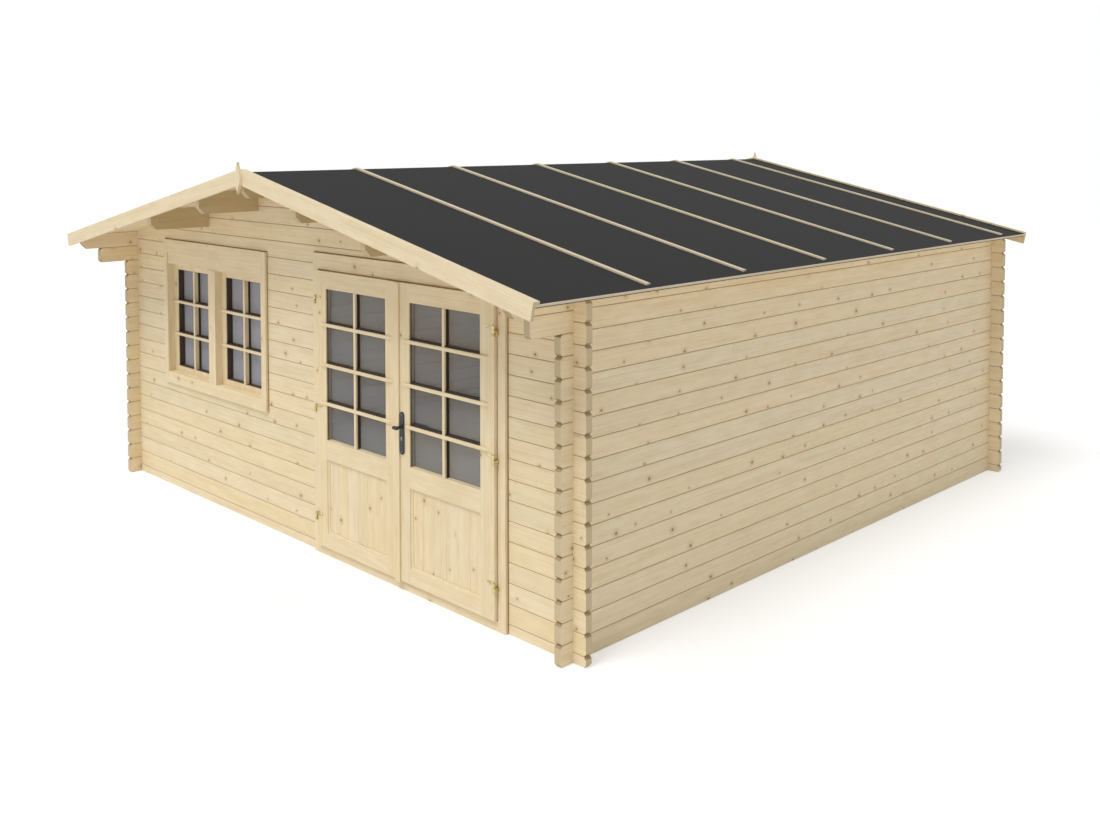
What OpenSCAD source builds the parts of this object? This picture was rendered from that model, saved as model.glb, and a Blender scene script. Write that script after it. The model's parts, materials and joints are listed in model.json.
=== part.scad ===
// Log-built garden shed: crossing log corners, a glazed double door, a fixed
// double window and a felted gable roof. X runs along the front, Y to the back.

/* [Walls] */
// Front and rear wall length, outer face to outer face
wall_w = 4880; // [4300:10:6000]
// Side wall length, outer face to outer face
wall_d = 4882; // [3000:10:6000]
// Height of one log course
course_h = 114; // [105:1:130]
// Thickness of a wall log
log_t = 44; // [34:1:60]
// Number of courses in a side wall
side_courses = 17; // [16:1:20]
// Length of a log end past the wall that it crosses
log_end = 91; // [60:1:140]
// Chamfer on the corners of a log end
end_chamfer = 15; // [4:1:24]
// Depth of the V along the long edges of a log
log_v = 4; // [1:0.5:8]
// Space between two courses
course_gap = 0.3; // [0.1:0.1:1]
// Side clearance of a log or purlin in its notch
notch_fit = 0.3; // [0.1:0.1:1]

/* [Roof] */
// Slope of the roof in degrees
roof_pitch = 12.1; // [8:0.1:25]
// Height of the roof underside over the top course, at the outer wall face
plate_rise = -6; // [-30:1:60]
// Front wall to the face of the front bargeboards
front_over = 466; // [340:1:700]
// Rear wall to the face of the rear bargeboards
rear_over = 162; // [130:1:500]
// Side wall to the end of the roof boards
eave_over = 170; // [140:1:400]
// Thickness of the roof boards
board_t = 18; // [12:1:30]
// Thickness of the roofing felt
felt_t = 3; // [2:0.5:6]
// Space between the layers of the roof, and under them
lay_gap = 0.1; // [0.05:0.05:0.5]
// Space between the two slopes at the ridge
ridge_gap = 0.6; // [0.2:0.1:2]
// Thickness of a purlin
purlin_t = 44; // [34:1:80]
// Depth of a purlin below the roof boards
purlin_h = 144; // [90:1:200]
// Middle of the shed to the upper purlins
upper_purlin_x = 580; // [400:5:800]
// Middle of the shed to the lower purlins
lower_purlin_x = 1265; // [950:5:1700]
// Slanted cut on the lower corner of purlin and wall plate ends
purlin_cut = 40; // [10:1:80]
// Front wall to the end of the stepped log under the wall plate
corbel_end = 305; // [150:1:330]
// Width of a bargeboard
barge_w = 78; // [60:1:180]
// Thickness of a bargeboard
barge_t = 20; // [12:1:30]
// Height of the rear bargeboards over the felt
rear_rise = 10; // [0:1:30]
// Width of the cap strip on the front bargeboards
cap_w = 45; // [30:1:80]
// Thickness of the cap strip
cap_t = 18; // [8:1:30]
// Width of a strip that holds the felt
strip_w = 30; // [20:1:60]
// Thickness of a strip that holds the felt
strip_t = 10; // [5:1:20]
// Front bargeboard face to the first felt strip
strip_first = 891; // [400:1:1000]
// Distance from one felt strip to the next
strip_pitch = 855; // [500:5:1000]
// Length that a felt strip stops short of the eave
strip_short = 50; // [0:1:100]
// Length of the felt that is turned down over the eave
felt_drop = 15; // [8:1:18]
// Height of the batten that clamps the felt at the eave
eave_w = 11; // [8:1:20]
// Thickness of the batten that clamps the felt at the eave
eave_t = 8; // [5:1:20]
// Height of a gable finial
finial_h = 200; // [120:1:300]
// Width of a gable finial
finial_w = 70; // [40:1:120]
// Thickness of a gable finial
finial_t = 18; // [10:1:30]
// Height of the finial tip over the felt at the ridge
finial_rise = 62; // [20:1:120]

/* [Frames] */
// Width of the casing that shows round the door and the window
casing_w = 58; // [45:1:90]
// Thickness of the casing
casing_t = 20; // [12:1:30]
// Thickness of the frame posts between log ends and opening
jamb_t = 38; // [25:1:45]
// Clearance between a frame and the logs that it grips
frame_fit = 0.3; // [0.1:0.1:1]

/* [Door] */
// Middle of the front wall to the middle of the doorway
door_x = 1040; // [900:1:1100]
// Clear width of the doorway between its posts
door_w = 1710; // [1400:1:1760]
// Height of the door casing over the log opening
door_casing_lap = 72; // [20:1:110]
// Height of the sill under the leaves
sill_h = 57; // [45:1:90]
// Thickness of the head over the leaves
head_t = 29; // [20:1:60]
// Running gap round each leaf
leaf_gap = 7; // [6:0.5:10]
// Thickness of a leaf
leaf_t = 40; // [34:1:50]
// Setback of the leaf faces from the casing faces, below 0 where the leaves stand proud
leaf_back = -22; // [-30:0.5:12]
// Width of a leaf stile
stile_w = 112; // [90:1:160]
// Height of the top rail of a leaf
rail_top_h = 111; // [80:1:160]
// Height of the middle rail of a leaf
rail_mid_h = 125; // [80:1:200]
// Height of the bottom rail of a leaf
rail_bottom_h = 92; // [70:1:200]
// Height of the boarded panel of a leaf
panel_h = 483; // [300:1:700]
// Thickness of the boarded panel
panel_t = 16; // [10:1:20]
// Setback of the boarded panel behind the leaf face
panel_back = 14; // [6:1:20]
// Clearance round glass and panels
pane_fit = 0.3; // [0.1:0.1:1]
// Thickness of the glass
glass_t = 5; // [3:0.5:10]
// Setback of the glass from the inner leaf face
door_glass_in = 1.5; // [0.5:0.5:12]
// Width of the stop that a leaf closes against
stop_w = 14; // [8:1:20]

/* [Hinges and handle] */
// Radius of a hinge barrel
barrel_r = 7; // [5:0.5:9]
// Height of one half of a hinge barrel
barrel_h = 28; // [18:1:50]
// Radius of a hinge pin
hinge_pin_r = 3.5; // [2.5:0.5:4]
// Radial clearance of a hinge pin
hinge_fit = 0.2; // [0.1:0.1:0.5]
// Length of the hinge arm on a leaf
hinge_arm_l = 58; // [30:1:75]
// Height of the hinge arm on a leaf
hinge_arm_h = 17; // [10:1:18]
// Middle of a hinge to the far side of its lug on the casing
hinge_lug = 12; // [9:1:30]
// Thickness of the hinge arm on a leaf
hinge_arm_t = 3; // [2:0.5:5]
// Clearance between a hinge barrel and the casing
barrel_clear = 1; // [0.5:0.5:3]
// Top and bottom of a leaf to its outer hinges
hinge_inset = 187; // [120:1:300]
// Width of a handle plate
plate_w = 42; // [30:1:60]
// Height of a handle plate
plate_h = 255; // [180:1:300]
// Thickness of a handle plate
plate_t = 8; // [4:1:12]
// Edge of the leaf to the handle plate
plate_edge = 21.5; // [3:0.5:30]
// Height of the handle spindle over the ground
spindle_z = 993; // [900:1:1100]
// Height of the spindle over the bottom of its plate
spindle_up = 167; // [100:1:200]
// Radius of the handle spindle
spindle_r = 8; // [6:0.5:10]
// Radial clearance of the handle spindle
spindle_fit = 0.3; // [0.2:0.1:0.6]
// Reach of the outer knob from the leaf face
knob_reach = 62; // [45:1:80]
// Width of the outer knob
knob_w = 48; // [36:1:54]
// Thickness of the outer knob and the inner lever
grip_t = 20; // [14:1:26]
// Reach of the inner lever from the leaf face
lever_reach = 58; // [45:1:80]
// Length of the inner lever
lever_l = 125; // [90:1:150]

/* [Window] */
// Middle of the front wall to the middle of the window
window_x = -1188; // [-1250:1:-1120]
// Clear width of the window between its outer posts
window_w = 1346; // [1000:1:1400]
// Full log courses under the window
window_course = 7; // [5:1:9]
// Height of the sill over the logs under the window
window_sill_h = 36; // [20:1:70]
// Height of the head over the window panes
window_head_h = 156; // [60:1:200]
// Part of that head that is set back under the casing
window_head_step = 85; // [30:1:100]
// Setback of that part behind the casing face
window_head_back = 6; // [2:0.5:12]
// Height of the window casing over the log opening
window_casing_up = 29; // [15:1:70]
// Height of the window casing below the log opening
window_casing_down = 48; // [15:1:90]
// Width of the post between the two sashes
mullion_w = 96; // [60:1:140]
// Width of a sash stile or rail
sash_w = 45; // [30:1:70]
// Thickness of a sash
sash_t = 52; // [26:1:60]
// Setback of the sashes behind the outer wall face
sash_back = 36; // [20:1:60]
// Setback of the glass from the inner sash face
sash_glass_in = 1; // [0.5:0.5:12]

/* [Floor] */
// Thickness of the floor deck
deck_t = 19; // [15:1:30]
// Width of a floor joist
joist_w = 44; // [30:1:80]
// Number of floor joists
joist_count = 10; // [8:1:14]
// Space between the deck and the walls
deck_gap = 2; // [1:0.5:10]

/* [Hidden] */
$fn = 48;

// Depth origin: the front wall face, set so that the whole shed is centred
front_y = front_over - (front_over + wall_d + rear_over) / 2;
half_w = wall_w / 2;
inner_w = half_w - log_t;
wall_top = side_courses * course_h + plate_rise;
opening_top = (side_courses - 0.5) * course_h;
peak_z = under(0);
felt_n = board_t + lay_gap;
roof_n = felt_n + felt_t;
eave_s = (half_w + eave_over) / cos(roof_pitch);
felt_s = eave_s + lay_gap + felt_t;
edge_s = felt_s + lay_gap + eave_t;
roof_y0 = -front_over + barge_t;
roof_y1 = wall_d + rear_over - barge_t;
ridge_top = peak_z + roof_n / cos(roof_pitch);
gable_courses = max(1, round((peak_z - opening_top) / course_h));
strip_count = 1 + floor((roof_y1 - strip_w + front_over - strip_first) / strip_pitch);
purlin_xs = [-lower_purlin_x, -upper_purlin_x, upper_purlin_x, lower_purlin_x];

door_l = door_x - door_w / 2;
door_r = door_x + door_w / 2;
leaf_w = (door_w - 3 * leaf_gap) / 2;
leaf_y = leaf_back - casing_t;
leaf_z0 = sill_h + leaf_gap;
leaf_z1 = opening_top - head_t - leaf_gap;
panel_z0 = leaf_z0 + rail_bottom_h;
panel_z1 = panel_z0 + panel_h;
glass_z0 = panel_z1 + rail_mid_h;
glass_z1 = leaf_z1 - rail_top_h;
left_leaf_x = door_l + leaf_gap;
right_leaf_x = door_x + leaf_gap / 2;
stop_y = leaf_y + leaf_t + leaf_gap;
frame_in = log_t + casing_t;
hinge_y = min(-casing_t, leaf_y) - barrel_clear - barrel_r;
hinge_zs = [leaf_z0 + hinge_inset, (leaf_z0 + leaf_z1) / 2, leaf_z1 - hinge_inset];
handle_x = right_leaf_x + plate_edge + plate_w / 2;

window_l = window_x - window_w / 2;
window_r = window_x + window_w / 2;
window_bottom = (window_course + 0.5) * course_h;
light_z0 = window_bottom + window_sill_h;
light_z1 = opening_top - window_head_h;
light_w = (window_w - mullion_w) / 2;
sash_in = sash_back + sash_t;

function under(x) = wall_top + (half_w - x) * tan(roof_pitch);
// Point on the right slope: s runs down from the ridge, n rises from the underside
function slope_at(s, n) = [s * cos(roof_pitch) + n * sin(roof_pitch),
    peak_z - s * sin(roof_pitch) + n * cos(roof_pitch)];
function mitre_s(n) = (ridge_gap / 2 - n * sin(roof_pitch)) / cos(roof_pitch);

module along_x(x0, x1) {
    translate([x0, 0, 0])
        rotate([90, 0, 90])
            linear_extrude(x1 - x0)
                children();
}

module along_y(y0, y1) {
    translate([0, y1, 0])
        rotate([90, 0, 0])
            linear_extrude(y1 - y0)
                children();
}

module block(low, high) {
    translate(low)
        cube(high - low);
}

module at_front() {
    translate([0, front_y, 0])
        children();
}

module at_rear() {
    translate([0, front_y + wall_d - log_t, 0])
        children();
}

// Turns a log that runs along X into one of the side wall, at the stated inner side
module at_side(x) {
    translate([x + log_t, front_y, 0])
        rotate([0, 0, 90])
            children();
}

// Everything that lies below the roof boards
module roof_space() {
    far = half_w + eave_over;
    drop = lay_gap / cos(roof_pitch);
    along_y(front_y - front_over, front_y + wall_d + rear_over)
        polygon([[-far, 0], [far, 0], [far, under(far) - drop], [0, peak_z - drop],
            [-far, under(far) - drop]]);
}

// One log along X: chamfered ends where they show, V edges, and cross-lap notches that
// leave half of its height at every crossing wall
module log_bar(x0, x1, course, laps, end0, end1, rise = 0) {
    z0 = max(0, course * course_h);
    z1 = (course + 1) * course_h - course_gap + rise;
    neck = (course + 0.5) * course_h;
    cut0 = end0 ? [[x0, z1 - end_chamfer], [x0, z0 + end_chamfer], [x0 + end_chamfer, z0]]
        : [[x0, z0]];
    cut1 = end1 ? [[x1 - end_chamfer, z0], [x1, z0 + end_chamfer], [x1, z1 - end_chamfer],
        [x1 - end_chamfer, z1]] : [[x1, z0], [x1, z1]];
    top0 = end0 ? [[x0 + end_chamfer, z1]] : [[x0, z1]];
    difference() {
        intersection() {
            along_y(0, log_t)
                polygon(concat(top0, cut0, cut1));
            along_x(x0, x1)
                polygon([[0, z0 + log_v], [log_v, z0], [log_t - log_v, z0], [log_t, z0 + log_v],
                    [log_t, z1 - log_v], [log_t - log_v, z1], [log_v, z1], [0, z1 - log_v]]);
        }
        for (lap = laps) {
            block([lap - notch_fit, -1, neck + course_h / 4],
                [lap + log_t + notch_fit, log_t + 1, z1 + 1]);
            if (neck - course_h / 4 > z0)
                block([lap - notch_fit, -1, z0 - 1],
                    [lap + log_t + notch_fit, log_t + 1, neck - course_h / 4]);
        }
    }
}

module side_logs() {
    for (k = [0 : side_courses - 3])
        log_bar(-log_end, wall_d + log_end, k, [0, wall_d - log_t], true, true);
}

// Stepped log and wall plate: both reach forward under the front overhang
module plate_logs() {
    top = side_courses - 1;
    z0 = top * course_h;
    lift = under(0) - (top + 1) * course_h;
    log_bar(-corbel_end, wall_d + log_end, top - 1, [0, wall_d - log_t], true, true);
    difference() {
        log_bar(roof_y0, wall_d + log_end, top, [0, wall_d - log_t], false, false, lift);
        translate([roof_y0, -1, z0])
            rotate([0, 45, 0])
                translate([-purlin_cut, 0, -purlin_cut / sqrt(2)])
                    cube([2 * purlin_cut, log_t + 2, purlin_cut * sqrt(2)]);
    }
}

module side_plate(x) {
    intersection() {
        at_side(x)
            plate_logs();
        roof_space();
    }
}

module purlin(x) {
    bottom = under(abs(x)) - purlin_h;
    intersection() {
        translate([x - purlin_t / 2, front_y, 0])
            along_x(0, purlin_t)
                polygon([[roof_y0 + purlin_cut, bottom], [roof_y1 - purlin_cut, bottom],
                    [roof_y1, bottom + purlin_cut], [roof_y1, peak_z + 1],
                    [roof_y0, peak_z + 1], [roof_y0, bottom + purlin_cut]]);
        roof_space();
    }
}

module purlin_slot(x) {
    half = purlin_t / 2 + notch_fit;
    block([x - half, -1, under(abs(x)) - purlin_h], [x + half, log_t + 1, peak_z + 1]);
}

// Gable logs, cut to the slope and slotted for the purlins
module gable_logs() {
    for (g = [0 : gable_courses - 1]) {
        course = side_courses - 0.5 + g;
        reach = min(half_w + log_end, half_w + (wall_top - course * course_h) / tan(roof_pitch));
        lift = g == gable_courses - 1 ? max(0, peak_z - (course + 1) * course_h) + 1 : 0;
        difference() {
            log_bar(-reach, reach, course, g == 0 ? [-half_w, inner_w] : [], g == 0, g == 0, lift);
            for (x = concat([0], purlin_xs))
                purlin_slot(x);
        }
    }
}

module slope_slab(n0, n1, s1) {
    polygon([slope_at(mitre_s(n0), n0), slope_at(s1, n0), slope_at(s1, n1),
        slope_at(mitre_s(n1), n1)]);
}

module on_left() {
    mirror([1, 0, 0])
        children();
}

module right_boards() {
    at_front()
        along_y(roof_y0, roof_y1)
            slope_slab(0, board_t, eave_s);
}

module right_strips() {
    at_front()
        for (i = [0 : strip_count - 1]) {
            y = strip_first - front_over + i * strip_pitch;
            along_y(y - strip_w / 2, y + strip_w / 2)
                slope_slab(roof_n + lay_gap, roof_n + lay_gap + strip_t, edge_s - strip_short);
        }
}

module right_eave() {
    at_front()
        along_y(roof_y0, roof_y1)
            polygon([slope_at(edge_s - eave_t, roof_n - eave_w), slope_at(edge_s, roof_n - eave_w),
                slope_at(edge_s, roof_n), slope_at(edge_s - eave_t, roof_n)]);
}

module barge_pair(y, rise) {
    for (side = [0, 1])
        mirror([side, 0, 0])
            at_front()
                along_y(y, y + barge_t)
                    slope_slab(roof_n - barge_w, roof_n + rise, edge_s);
}

module cap_pair(y) {
    for (side = [0, 1])
        mirror([side, 0, 0])
            at_front()
                along_y(y, y + cap_w)
                    slope_slab(roof_n + lay_gap, roof_n + lay_gap + cap_t, edge_s);
}

// Ogee board, pointed at both ends
module finial(y) {
    tip = ridge_top + finial_rise;
    steps = 16;
    at_front()
        along_y(y, y + finial_t)
            polygon(concat(
                [for (i = [0 : steps])
                    [finial_w / 4 * (1 - cos(360 * i / steps)) * (i == 0 || i == steps ? 0 : 1),
                        tip - finial_h * i / steps]],
                [for (i = [steps - 1 : -1 : 1])
                    [-finial_w / 4 * (1 - cos(360 * i / steps)), tip - finial_h * i / steps]]));
}

// Frame post that grips the log ends; the opening lies on its +X side
module frame_post(z0, z1, z_in, z_low, z_high, depth) {
    block([-jamb_t, -casing_t, z0], [0, log_t, z1]);
    block([-jamb_t, log_t - 1, z_in], [0, depth, z1]);
    block([-casing_w, -casing_t, z_low], [0, -frame_fit, z_high]);
    block([-casing_w, log_t + frame_fit, z_in], [0, frame_in, z_high]);
}

module door_post() {
    frame_post(0, opening_top - course_gap, sill_h + frame_fit, 0,
        opening_top + door_casing_lap, frame_in);
    block([-1, stop_y, sill_h + frame_fit], [stop_w, frame_in, opening_top - head_t]);
}

module window_post() {
    frame_post(window_bottom, opening_top - course_gap, window_bottom,
        window_bottom - window_casing_down, opening_top + window_casing_up, sash_in);
    block([-casing_w, log_t + frame_fit, window_bottom - window_casing_down],
        [0, frame_in, window_bottom + 1]);
}

module leaf_stile_pair(x) {
    for (dx = [0, leaf_w - stile_w])
        block([x + dx, leaf_y, leaf_z0], [x + dx + stile_w, leaf_y + leaf_t, leaf_z1]);
}

module leaf_rail_set(x) {
    for (z = [[leaf_z0, panel_z0], [panel_z1, glass_z0], [glass_z1, leaf_z1]])
        block([x + stile_w, leaf_y, z[0]], [x + leaf_w - stile_w, leaf_y + leaf_t, z[1]]);
}

module leaf_fill(x, y, t, z0, z1) {
    block([x + stile_w + pane_fit, y, z0 + pane_fit],
        [x + leaf_w - stile_w - pane_fit, y + t, z1 - pane_fit]);
}

module leaf_panel(x) {
    leaf_fill(x, leaf_y + panel_back, panel_t, panel_z0, panel_z1);
}

module leaf_glass(x) {
    leaf_fill(x, leaf_y + leaf_t - door_glass_in - glass_t, glass_t, glass_z0, glass_z1);
}

// Lower hinge half: lug on the casing, barrel and standing pin
module hinge_frame_half() {
    translate([0, 0, -barrel_h])
        cylinder(r = barrel_r, h = barrel_h);
    cylinder(r = hinge_pin_r, h = barrel_h * 0.8);
    block([-hinge_lug, 0, -barrel_h], [-leaf_gap / 2, -casing_t - hinge_y, 0]);
}

// Upper hinge half: barrel over the pin and a cranked arm on the leaf
module hinge_leaf_half() {
    face_y = leaf_y - hinge_y;
    top = hinge_fit + barrel_h;
    difference() {
        union() {
            translate([0, 0, hinge_fit])
                cylinder(r = barrel_r, h = barrel_h);
            block([leaf_gap / 2, 0, top - hinge_arm_h], [leaf_gap / 2 + hinge_arm_t, face_y, top]);
            block([leaf_gap / 2, face_y - hinge_arm_t, top - hinge_arm_h],
                [leaf_gap / 2 + hinge_arm_l, face_y, top]);
        }
        cylinder(r = hinge_pin_r + hinge_fit, h = barrel_h * 0.9);
    }
}

module at_hinges(x) {
    at_front()
        for (z = hinge_zs)
            translate([x, hinge_y, z])
                children();
}

module handle_plate(y) {
    end = plate_w / 2;
    bottom = spindle_z - spindle_up;
    difference() {
        along_y(y, y + plate_t)
            union() {
                translate([handle_x, bottom + end])
                    circle(end);
                translate([handle_x, bottom + plate_h - end])
                    circle(end);
                translate([handle_x - end, bottom + end])
                    square([plate_w, plate_h - plate_w]);
            }
        spindle_bore();
    }
}

module spindle_bore() {
    translate([handle_x, leaf_y - 2 * plate_t, spindle_z])
        rotate([-90, 0, 0])
            cylinder(r = spindle_r + spindle_fit, h = leaf_t + 4 * plate_t);
}

module left_wall_logs() {
    color("burlywood")
        at_side(-half_w)
            side_logs();
}

module right_wall_logs() {
    color("burlywood")
        at_side(inner_w)
            side_logs();
}

module left_wall_plate() {
    color("tan")
        side_plate(-half_w);
}

module right_wall_plate() {
    color("tan")
        side_plate(inner_w);
}

module front_lower_logs() {
    color("wheat")
        at_front()
            for (j = [-1 : window_course - 1])
                log_bar(-half_w - log_end, door_l - jamb_t - frame_fit, j + 0.5, [-half_w],
                    true, false);
}

module front_corner_logs() {
    color("wheat")
        at_front()
            for (j = [window_course : side_courses - 2])
                log_bar(-half_w - log_end, window_l - jamb_t - frame_fit, j + 0.5, [-half_w],
                    true, false);
}

module front_middle_logs() {
    color("wheat")
        at_front()
            for (j = [window_course : side_courses - 2])
                log_bar(window_r + jamb_t + frame_fit, door_l - jamb_t - frame_fit, j + 0.5, [],
                    false, false);
}

module front_right_logs() {
    color("wheat")
        at_front()
            for (j = [-1 : side_courses - 2])
                log_bar(door_r + jamb_t + frame_fit, half_w + log_end, j + 0.5, [inner_w],
                    false, true);
}

module front_gable_logs() {
    color("wheat")
        intersection() {
            at_front()
                gable_logs();
            roof_space();
        }
}

module rear_wall_logs() {
    color("wheat")
        at_rear()
            for (j = [-1 : side_courses - 2])
                log_bar(-half_w - log_end, half_w + log_end, j + 0.5, [-half_w, inner_w],
                    true, true);
}

module rear_gable_logs() {
    color("wheat")
        intersection() {
            at_rear()
                gable_logs();
            roof_space();
        }
}

module ridge_purlin() {
    color("tan")
        purlin(0);
}

module purlins() {
    color("tan")
        for (x = purlin_xs)
            purlin(x);
}

module left_roof_boards() {
    color("peru")
        on_left()
            right_boards();
}

module right_roof_boards() {
    color("peru")
        right_boards();
}

module roof_felt() {
    half = [slope_at(mitre_s(felt_n), felt_n), slope_at(eave_s + lay_gap, felt_n),
        slope_at(eave_s + lay_gap, board_t - felt_drop), slope_at(felt_s, board_t - felt_drop),
        slope_at(felt_s, roof_n)];
    color("dimgray")
        at_front()
            along_y(roof_y0, roof_y1)
                polygon(concat(half, [[0, ridge_top]],
                    [for (i = [len(half) - 1 : -1 : 0]) [-half[i][0], half[i][1]]]));
}

module left_felt_strips() {
    color("gainsboro")
        on_left()
            right_strips();
}

module right_felt_strips() {
    color("gainsboro")
        right_strips();
}

module left_eave_batten() {
    color("tan")
        on_left()
            right_eave();
}

module right_eave_batten() {
    color("tan")
        right_eave();
}

module front_bargeboards() {
    color("moccasin")
        barge_pair(-front_over, 0);
}

module rear_bargeboards() {
    color("moccasin")
        barge_pair(roof_y1, rear_rise);
}

module front_cap_strips() {
    color("moccasin")
        cap_pair(-front_over);
}

module front_finial() {
    color("tan")
        finial(-front_over - finial_t);
}

module rear_finial() {
    color("tan")
        finial(wall_d + rear_over);
}

module door_left_post() {
    color("moccasin")
        at_front()
            translate([door_l, 0, 0])
                door_post();
}

module door_right_post() {
    color("moccasin")
        at_front()
            translate([door_r, 0, 0])
                mirror([1, 0, 0])
                    door_post();
}

module door_head() {
    color("moccasin")
        at_front() {
            block([door_l, -casing_t, opening_top - head_t],
                [door_r, frame_in, opening_top - course_gap]);
            block([door_l, -casing_t, opening_top - 1],
                [door_r, -frame_fit, opening_top + door_casing_lap]);
            block([door_l, log_t + frame_fit, opening_top - 1],
                [door_r, frame_in, opening_top + door_casing_lap]);
            block([door_l + stop_w, stop_y, opening_top - head_t - stop_w],
                [door_r - stop_w, frame_in, opening_top - head_t + 1]);
        }
}

module door_sill() {
    color("tan")
        at_front()
            block([door_l, -casing_t, 0], [door_r, log_t, sill_h]);
}

module left_leaf_stiles() {
    color("navajowhite")
        at_front()
            leaf_stile_pair(left_leaf_x);
}

module left_leaf_rails() {
    color("bisque")
        at_front()
            leaf_rail_set(left_leaf_x);
}

module left_leaf_panel() {
    color("burlywood")
        at_front()
            leaf_panel(left_leaf_x);
}

module left_leaf_glass() {
    color("lightsteelblue")
        at_front()
            leaf_glass(left_leaf_x);
}

module right_leaf_stiles() {
    color("navajowhite")
        at_front()
            difference() {
                leaf_stile_pair(right_leaf_x);
                spindle_bore();
            }
}

module right_leaf_rails() {
    color("bisque")
        at_front()
            leaf_rail_set(right_leaf_x);
}

module right_leaf_panel() {
    color("burlywood")
        at_front()
            leaf_panel(right_leaf_x);
}

module right_leaf_glass() {
    color("lightsteelblue")
        at_front()
            leaf_glass(right_leaf_x);
}

module frame_hinge_halves() {
    color("goldenrod") {
        at_hinges(door_l + leaf_gap / 2)
            hinge_frame_half();
        at_hinges(door_r - leaf_gap / 2)
            mirror([1, 0, 0])
                hinge_frame_half();
    }
}

module left_hinge_halves() {
    color("gold")
        at_hinges(door_l + leaf_gap / 2)
            hinge_leaf_half();
}

module right_hinge_halves() {
    color("gold")
        at_hinges(door_r - leaf_gap / 2)
            mirror([1, 0, 0])
                hinge_leaf_half();
}

module handle_plates() {
    color("darkslategray")
        at_front() {
            handle_plate(leaf_y - plate_t);
            handle_plate(leaf_y + leaf_t);
        }
}

// Spindle with an oval knob outside and a lever inside
module door_handle() {
    back = leaf_y + leaf_t + lever_reach;
    grip_r = grip_t / 2;
    color("black")
        at_front()
            translate([handle_x, 0, spindle_z]) {
                translate([0, leaf_y - knob_reach + grip_t / 2, 0])
                    rotate([-90, 0, 0])
                        cylinder(r = spindle_r, h = knob_reach + leaf_t + lever_reach - grip_t);
                along_y(leaf_y - knob_reach, leaf_y - knob_reach + grip_t)
                    union() {
                        for (side = [-1, 1])
                            translate([side * (knob_w / 2 - grip_r), 0])
                                circle(grip_r);
                        square([knob_w - grip_t, grip_t], center = true);
                    }
                along_y(back - grip_t, back)
                    union() {
                        circle(grip_r);
                        translate([lever_l - grip_r, 0])
                            circle(grip_r);
                        translate([0, -grip_r])
                            square([lever_l - grip_r, grip_t]);
                    }
            }
}

module window_posts() {
    color("moccasin")
        at_front() {
            translate([window_l, 0, 0])
                window_post();
            translate([window_r, 0, 0])
                mirror([1, 0, 0])
                    window_post();
            block([window_x - mullion_w / 2, -casing_t, light_z0],
                [window_x + mullion_w / 2, sash_in, light_z1]);
        }
}

module window_head() {
    step_z = light_z1 + window_head_step;
    top = opening_top + window_casing_up;
    color("moccasin")
        at_front() {
            block([window_l, window_head_back - casing_t, light_z1],
                [window_r, sash_in, opening_top - course_gap]);
            block([window_l, -casing_t, step_z], [window_r, -frame_fit, top]);
            block([window_l, log_t + frame_fit, step_z], [window_r, frame_in, top]);
        }
}

module window_sill() {
    low = window_bottom - window_casing_down;
    color("moccasin")
        at_front() {
            block([window_l, -casing_t, window_bottom + course_gap], [window_r, sash_in, light_z0]);
            block([window_l, -casing_t, low], [window_r, -frame_fit, light_z0]);
            block([window_l, log_t + frame_fit, low], [window_r, frame_in, light_z0]);
        }
}

module at_lights() {
    at_front()
        for (x = [window_l, window_x + mullion_w / 2])
            translate([x, sash_back, light_z0])
                children();
}

module window_sashes() {
    light_h = light_z1 - light_z0;
    color("navajowhite")
        at_lights()
            difference() {
                block([pane_fit, 0, pane_fit], [light_w - pane_fit, sash_t, light_h - pane_fit]);
                block([sash_w, -1, sash_w], [light_w - sash_w, sash_t + 1, light_h - sash_w]);
            }
}

module window_glass() {
    edge = sash_w + pane_fit;
    light_h = light_z1 - light_z0;
    back = sash_t - sash_glass_in;
    color("lightsteelblue")
        at_lights()
            block([edge, back - glass_t, edge], [light_w - edge, back, light_h - edge]);
}

module floor_deck() {
    color("peru")
        at_front()
            block([-inner_w + deck_gap, log_t + deck_gap, sill_h - deck_t],
                [inner_w - deck_gap, wall_d - log_t - deck_gap, sill_h]);
}

module floor_joists() {
    first = log_t + deck_gap;
    step = (wall_d - 2 * first - joist_w) / (joist_count - 1);
    color("saddlebrown")
        at_front()
            for (i = [0 : joist_count - 1])
                block([-inner_w + deck_gap, first + i * step, 0],
                    [inner_w - deck_gap, first + i * step + joist_w, sill_h - deck_t]);
}

left_wall_logs();
right_wall_logs();
left_wall_plate();
right_wall_plate();
front_lower_logs();
front_corner_logs();
front_middle_logs();
front_right_logs();
front_gable_logs();
rear_wall_logs();
rear_gable_logs();
ridge_purlin();
purlins();
left_roof_boards();
right_roof_boards();
roof_felt();
left_felt_strips();
right_felt_strips();
left_eave_batten();
right_eave_batten();
front_bargeboards();
rear_bargeboards();
front_cap_strips();
front_finial();
rear_finial();
door_left_post();
door_right_post();
door_head();
door_sill();
left_leaf_stiles();
left_leaf_rails();
left_leaf_panel();
left_leaf_glass();
right_leaf_stiles();
right_leaf_rails();
right_leaf_panel();
right_leaf_glass();
frame_hinge_halves();
left_hinge_halves();
right_hinge_halves();
handle_plates();
door_handle();
window_posts();
window_head();
window_sill();
window_sashes();
window_glass();
floor_deck();
floor_joists();
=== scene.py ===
import json
import math

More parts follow.
